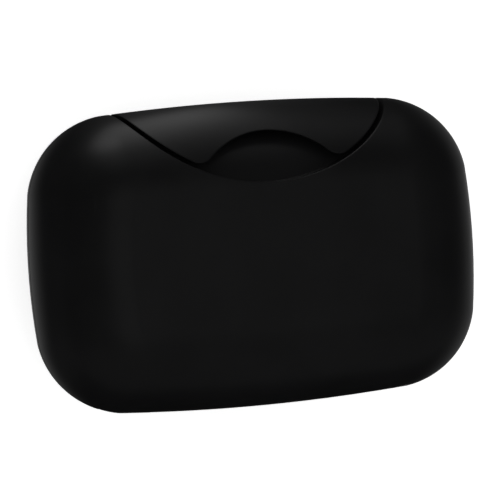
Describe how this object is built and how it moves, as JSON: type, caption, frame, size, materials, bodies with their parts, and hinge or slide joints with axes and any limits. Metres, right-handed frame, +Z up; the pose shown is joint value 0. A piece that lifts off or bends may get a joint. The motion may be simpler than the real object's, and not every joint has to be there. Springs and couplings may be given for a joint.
{
  "type": "travel soap box",
  "caption": "Pillow-shaped travel soap box with a hinged lid, a flush wave-edged flap latch, a seal ring and a slotted drain tray.",
  "frame": {"origin": "centre of the closed box's footprint, on the surface that it rests on", "axes": "+X along the long side, to the right when one faces the latch; the latch is on the -Y side and the hinge on the +Y side; +Z up, with the lid on top"},
  "size_m": [0.108, 0.0719, 0.04],
  "materials": {
    "shell_plastic": "moulded, smooth satin",
    "latch_plastic": "moulded, smooth satin",
    "tray_plastic": "moulded, fine matte",
    "silicone": "soft silicone",
    "pin_steel": "ground"
  },
  "bodies": {
    "base": {"base_shell": "shell_plastic", "drain_tray": "tray_plastic", "hinge_pin_left": "pin_steel", "hinge_pin_right": "pin_steel", "latch_pin_left": "pin_steel", "latch_pin_right": "pin_steel"},
    "lid": {"lid_shell": "shell_plastic", "seal_ring": "silicone"},
    "flap": {"latch": "latch_plastic"}
  },
  "joints": [
    {"name": "lid_hinge", "type": "hinge", "parent": "base", "child": "lid", "pos_m": [0, 0.0333, 0.02], "axis": [-1, 0, 0], "range_deg": [0, 85]},
    {"name": "latch_pivot", "type": "hinge", "parent": "base", "child": "flap", "pos_m": [0, -0.03206, 0.0135], "axis": [1, 0, 0], "range_deg": [0, 127.5]}
  ],
  "couplings": [
    {"joint": "latch_pivot", "follows": "lid_hinge", "ratio": 1.5}
  ]
}
